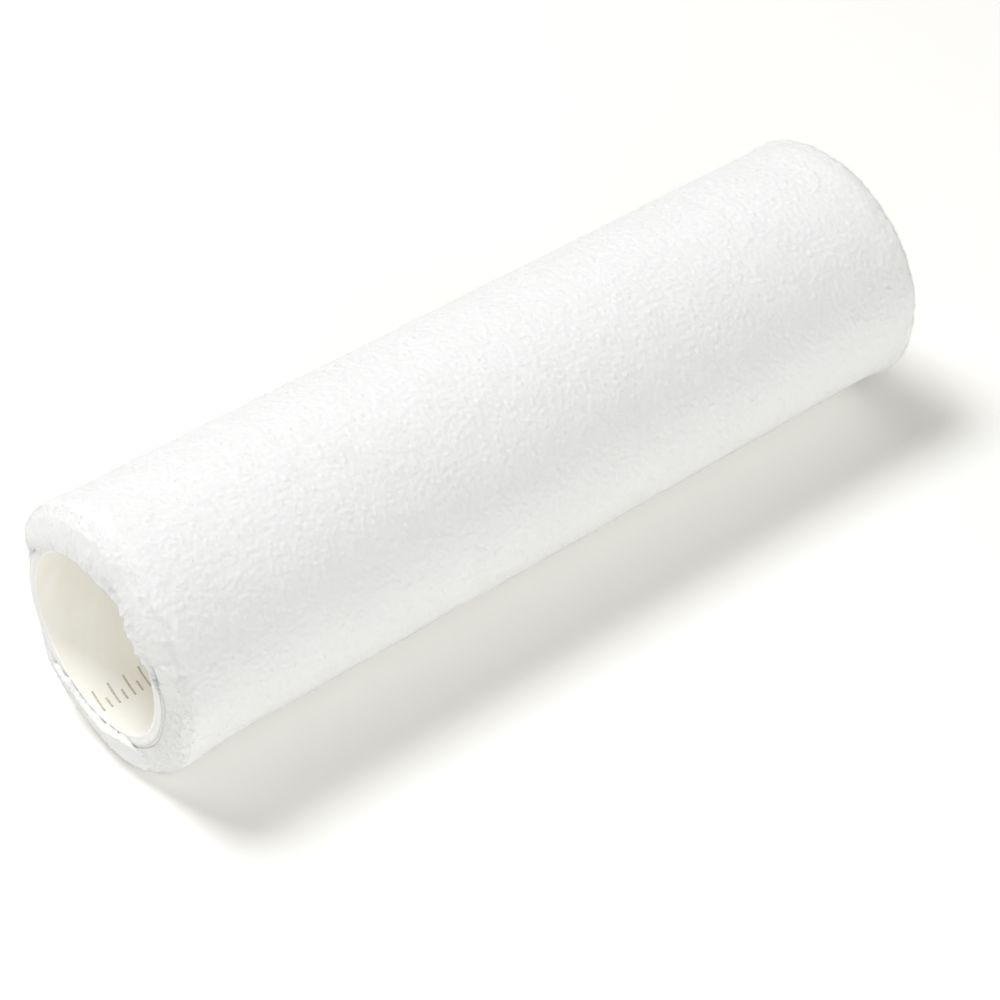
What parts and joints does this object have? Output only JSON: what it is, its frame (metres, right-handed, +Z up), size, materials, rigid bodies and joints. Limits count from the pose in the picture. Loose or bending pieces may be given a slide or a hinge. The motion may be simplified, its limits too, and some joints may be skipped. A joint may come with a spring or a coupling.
{
  "type": "paint roller cover",
  "caption": "Short-pile paint roller cover: a white plush sleeve with round trimmed ends on a wound two-ply plastic core with an open bore.",
  "frame": {"origin": "middle of the bore axis, half way along the cover", "axes": "+Y along the bore axis, +Z up from the surface the cover lies on, +X across it"},
  "size_m": [0.0654, 0.2286, 0.0654],
  "materials": {
    "core_plastic": "satin",
    "bond_plastic": "satin",
    "ground_fabric": "matte",
    "pile": "matte"
  },
  "bodies": {
    "root": {"core_inner_ply": "core_plastic", "ply_bond_film": "bond_plastic", "core_outer_ply": "core_plastic", "cover_bond_film": "bond_plastic", "cover_backing": "ground_fabric", "cover_pile": "pile"}
  },
  "joints": []
}
